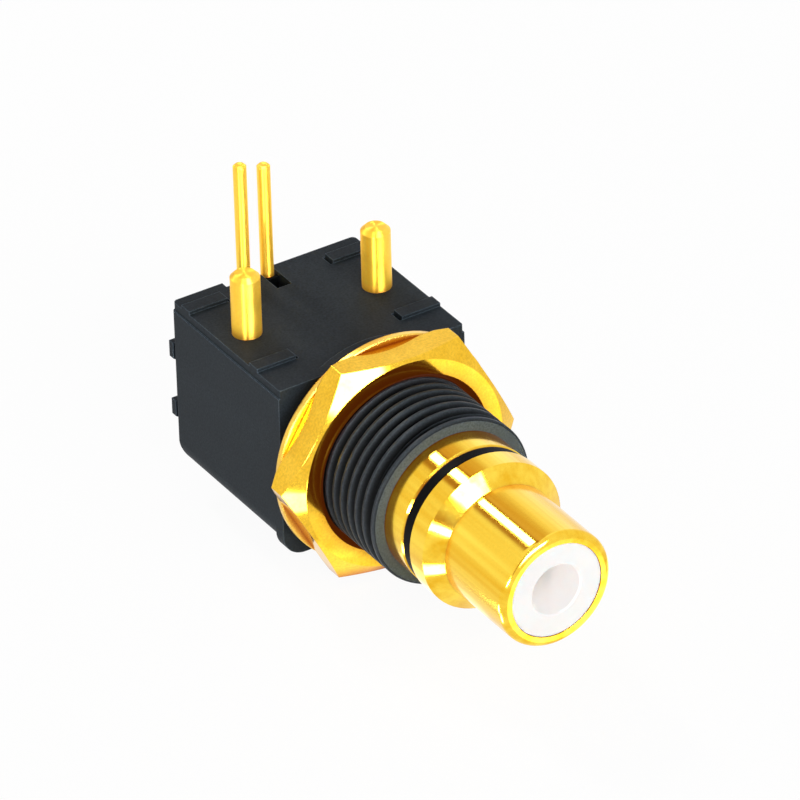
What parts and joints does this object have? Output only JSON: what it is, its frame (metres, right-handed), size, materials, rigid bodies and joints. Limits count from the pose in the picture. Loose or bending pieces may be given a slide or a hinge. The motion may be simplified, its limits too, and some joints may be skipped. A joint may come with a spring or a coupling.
{
  "type": "pcb rca socket",
  "caption": "Right-angle RCA phono socket with a gold barrel, threaded panel neck, hexagon nut, washer, black housing and solder pins.",
  "frame": {"origin": "on the barrel's axis, in the plane of the round shoulder that meets the back of the panel", "axes": "-Y along the barrel's axis, the way the mating plug leaves; +Z the way the solder pins point, to the board"},
  "size_m": [0.0178, 0.0351, 0.0231],
  "materials": {
    "black_plastic": "satin moulded plastic",
    "ring_plastic": "satin black plastic",
    "white_plastic": "smooth white plastic",
    "gold_plate": "polished gold plate on turned brass",
    "gold_pin": "gold plate on drawn wire and sheet"
  },
  "bodies": {
    "socket": {"housing": "black_plastic", "rear_cover": "black_plastic", "outer_shell": "gold_plate", "marker_ring": "ring_plastic", "front_insulator": "white_plastic", "rear_insulator": "white_plastic", "centre_contact": "gold_plate", "signal_tail": "gold_pin", "earth_tail": "gold_pin", "earth_plate": "gold_pin", "shell_ring_nut": "gold_plate", "left_post": "gold_pin", "right_post": "gold_pin"},
    "washer": {"panel_washer": "gold_plate"},
    "nut": {"panel_nut": "gold_plate"}
  },
  "joints": [
    {"name": "washer_slide", "type": "slide", "parent": "socket", "child": "washer", "axis": [0, -1, 0], "range_m": [0, 0.00744]},
    {"name": "nut_turn", "type": "hinge", "parent": "washer", "child": "nut", "pos_m": [0, -0.0016, 0], "axis": [0, -1, 0], "range_deg": [0, 3060]}
  ],
  "couplings": [
    {"joint": "washer_slide", "follows": "nut_turn", "m_per_rad": 0.00013926}
  ]
}
